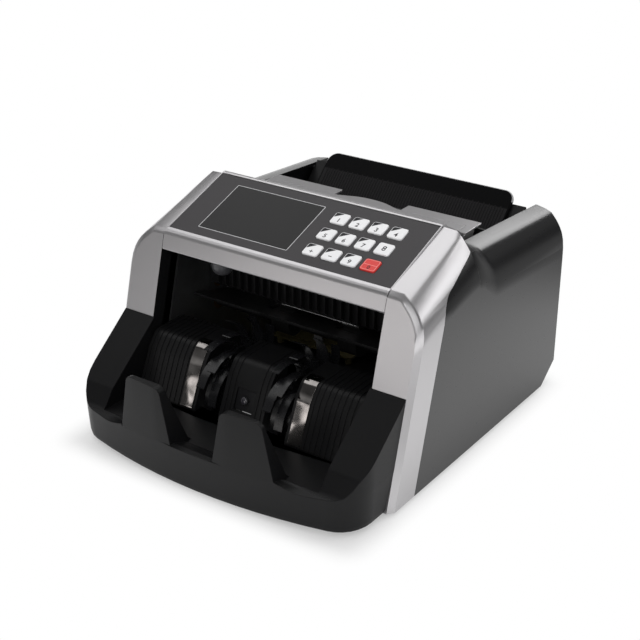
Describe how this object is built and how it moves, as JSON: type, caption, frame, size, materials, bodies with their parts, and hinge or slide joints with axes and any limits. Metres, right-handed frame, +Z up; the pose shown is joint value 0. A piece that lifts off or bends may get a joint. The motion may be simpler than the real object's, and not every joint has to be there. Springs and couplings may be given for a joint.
{
  "type": "banknote counting machine",
  "caption": "Desktop banknote counter with a rear hopper, friction feed, finned stacker wheels, a front tray, a sloping keypad and a display window.",
  "frame": {"origin": "on the table, at the centre of the base of the machine's bounding box", "axes": "+X to the machine's right side seen from the front, +Y to the back, +Z up"},
  "size_m": [0.25, 0.3, 0.1679],
  "materials": {
    "silver": "satin silver paint",
    "cover_black": "satin",
    "tray_black": "fine grain",
    "inner_black": "satin",
    "rest_black": "satin",
    "overlay_grey": "matt film",
    "window_smoke": "smoked, glossy",
    "board_green": "solder mask",
    "key_white": "satin",
    "key_red": "satin",
    "sheet_steel": "zinc plated",
    "shaft_steel": "ground",
    "chrome_strip": "bright",
    "bronze": "sintered bronze",
    "drum_aluminium": "turned",
    "rubber": "matt",
    "grip_rubber": "matt",
    "fin_rubber": "satin",
    "sensor_black": "glossy",
    "lamp_grey": "frosted",
    "motor_metal": "satin",
    "pulley_white": "satin",
    "supply": "varnished",
    "inlet_black": "satin",
    "pin_brass": "nickelled",
    "switch_red": "glossy"
  },
  "bodies": {
    "machine": {"base_pan": "inner_black", "front_tray": "tray_black", "stacker_apron": "inner_black", "guide_strips": "chrome_strip", "left_front_trim": "silver", "right_front_trim": "silver", "left_side_cover": "cover_black", "right_side_cover": "cover_black", "control_hood": "silver", "keypad_overlay": "overlay_grey", "display_window": "window_smoke", "display_board": "board_green", "feed_gates": "silver", "hopper_front_wall": "inner_black", "hopper_bed": "inner_black", "note_rest": "rest_black", "left_frame_plate": "sheet_steel", "right_frame_plate": "sheet_steel", "frame_tie_bars": "shaft_steel", "shaft_bearings": "bronze", "tray_sensor": "sensor_black", "bay_lamp": "lamp_grey", "stacker_motor": "motor_metal", "switch_frame": "inlet_black", "lower_guide": "inner_black", "upper_guide": "inner_black", "main_motor": "motor_metal", "drive_belts": "rubber", "power_supply": "supply", "rear_cover": "cover_black", "power_inlet": "inlet_black", "inlet_pins": "pin_brass", "rubber_feet": "rubber"},
    "stacker": {"stacker_shaft": "shaft_steel", "left_stacker_wheel": "fin_rubber", "right_stacker_wheel": "fin_rubber"},
    "stacker_motor_rotor": {"stacker_pulley": "pulley_white"},
    "feed": {"feed_drum": "drum_aluminium", "feed_tyres": "grip_rubber"},
    "pickup": {"pickup_rollers": "rubber"},
    "exit": {"exit_rollers": "rubber"},
    "exit_nip": {"exit_nip_rollers": "shaft_steel"},
    "idlers": {"pressure_idlers": "shaft_steel"},
    "motor_rotor": {"motor_pulley": "pulley_white"},
    "separator": {"separator_rollers": "grip_rubber", "separator_bracket": "sheet_steel"},
    "knob": {"gap_knob": "inlet_black"},
    "rocker": {"power_switch": "switch_red"},
    "key_1_1_cap": {"key_1_1": "key_white"},
    "key_1_2_cap": {"key_1_2": "key_white"},
    "key_1_3_cap": {"key_1_3": "key_white"},
    "key_1_4_cap": {"key_1_4": "key_white"},
    "key_2_1_cap": {"key_2_1": "key_white"},
    "key_2_2_cap": {"key_2_2": "key_white"},
    "key_2_3_cap": {"key_2_3": "key_white"},
    "key_2_4_cap": {"key_2_4": "key_white"},
    "key_3_1_cap": {"key_3_1": "key_white"},
    "key_3_2_cap": {"key_3_2": "key_white"},
    "key_3_3_cap": {"key_3_3": "key_white"},
    "key_3_4_cap": {"key_3_4": "key_red"}
  },
  "joints": [
    {"name": "stacker_spin", "type": "hinge", "parent": "machine", "child": "stacker", "pos_m": [0, -0.05859, 0.05], "axis": [1, 0, 0], "continuous": true},
    {"name": "stacker_motor_spin", "type": "hinge", "parent": "machine", "child": "stacker_motor_rotor", "pos_m": [0, -0.00059, 0.022], "axis": [1, 0, 0], "continuous": true},
    {"name": "feed_spin", "type": "hinge", "parent": "machine", "child": "feed", "pos_m": [0, 0.0496, 0.089], "axis": [1, 0, 0], "continuous": true},
    {"name": "pickup_spin", "type": "hinge", "parent": "machine", "child": "pickup", "pos_m": [0, 0.0616, 0.127], "axis": [1, 0, 0], "continuous": true},
    {"name": "exit_spin", "type": "hinge", "parent": "machine", "child": "exit", "pos_m": [0, 0.0013, 0.06552], "axis": [1, 0, 0], "continuous": true},
    {"name": "exit_nip_spin", "type": "hinge", "parent": "machine", "child": "exit_nip", "pos_m": [0, 0.0013, 0.08342], "axis": [1, 0, 0], "continuous": true},
    {"name": "idler_spin", "type": "hinge", "parent": "machine", "child": "idlers", "pos_m": [0, 0.0496, 0.0577], "axis": [1, 0, 0], "continuous": true},
    {"name": "motor_spin", "type": "hinge", "parent": "machine", "child": "motor_rotor", "pos_m": [0, 0.0906, 0.038], "axis": [1, 0, 0], "continuous": true},
    {"name": "separator_slide", "type": "slide", "parent": "machine", "child": "separator", "axis": [0, 1, 0], "range_m": [-0.0002, 0.001]},
    {"name": "gap_knob_turn", "type": "hinge", "parent": "machine", "child": "knob", "pos_m": [0, 0.133, 0.07693], "axis": [0, -1, 0], "range_deg": [-103, 515]},
    {"name": "rocker_tilt", "type": "hinge", "parent": "machine", "child": "rocker", "pos_m": [0.066, 0.13, 0.038], "axis": [0, 0, 1], "range_deg": [0, 16]},
    {"name": "key_1_1_press", "type": "slide", "parent": "machine", "child": "key_1_1_cap", "axis": [0, 0.3371, -0.9415], "range_m": [0, 0.0006], "stiffness_N_per_m": 1200, "springref_m": -0.0002},
    {"name": "key_1_2_press", "type": "slide", "parent": "machine", "child": "key_1_2_cap", "axis": [0, 0.3371, -0.9415], "range_m": [0, 0.0006], "stiffness_N_per_m": 1200, "springref_m": -0.0002},
    {"name": "key_1_3_press", "type": "slide", "parent": "machine", "child": "key_1_3_cap", "axis": [0, 0.3371, -0.9415], "range_m": [0, 0.0006], "stiffness_N_per_m": 1200, "springref_m": -0.0002},
    {"name": "key_1_4_press", "type": "slide", "parent": "machine", "child": "key_1_4_cap", "axis": [0, 0.3371, -0.9415], "range_m": [0, 0.0006], "stiffness_N_per_m": 1200, "springref_m": -0.0002},
    {"name": "key_2_1_press", "type": "slide", "parent": "machine", "child": "key_2_1_cap", "axis": [0, 0.3371, -0.9415], "range_m": [0, 0.0006], "stiffness_N_per_m": 1200, "springref_m": -0.0002},
    {"name": "key_2_2_press", "type": "slide", "parent": "machine", "child": "key_2_2_cap", "axis": [0, 0.3371, -0.9415], "range_m": [0, 0.0006], "stiffness_N_per_m": 1200, "springref_m": -0.0002},
    {"name": "key_2_3_press", "type": "slide", "parent": "machine", "child": "key_2_3_cap", "axis": [0, 0.3371, -0.9415], "range_m": [0, 0.0006], "stiffness_N_per_m": 1200, "springref_m": -0.0002},
    {"name": "key_2_4_press", "type": "slide", "parent": "machine", "child": "key_2_4_cap", "axis": [0, 0.3371, -0.9415], "range_m": [0, 0.0006], "stiffness_N_per_m": 1200, "springref_m": -0.0002},
    {"name": "key_3_1_press", "type": "slide", "parent": "machine", "child": "key_3_1_cap", "axis": [0, 0.3371, -0.9415], "range_m": [0, 0.0006], "stiffness_N_per_m": 1200, "springref_m": -0.0002},
    {"name": "key_3_2_press", "type": "slide", "parent": "machine", "child": "key_3_2_cap", "axis": [0, 0.3371, -0.9415], "range_m": [0, 0.0006], "stiffness_N_per_m": 1200, "springref_m": -0.0002},
    {"name": "key_3_3_press", "type": "slide", "parent": "machine", "child": "key_3_3_cap", "axis": [0, 0.3371, -0.9415], "range_m": [0, 0.0006], "stiffness_N_per_m": 1200, "springref_m": -0.0002},
    {"name": "key_3_4_press", "type": "slide", "parent": "machine", "child": "key_3_4_cap", "axis": [0, 0.3371, -0.9415], "range_m": [0, 0.0006], "stiffness_N_per_m": 1200, "springref_m": -0.0002}
  ],
  "couplings": [
    {"joint": "stacker_motor_spin", "follows": "stacker_spin", "ratio": 1.7778},
    {"joint": "motor_spin", "follows": "feed_spin", "ratio": 2},
    {"joint": "pickup_spin", "follows": "feed_spin", "ratio": 1},
    {"joint": "exit_spin", "follows": "feed_spin", "ratio": 1},
    {"joint": "exit_nip_spin", "follows": "feed_spin", "ratio": -1.4286},
    {"joint": "idler_spin", "follows": "feed_spin", "ratio": -3.4286},
    {"joint": "gap_knob_turn", "follows": "separator_slide", "rad_per_m": 8976}
  ]
}
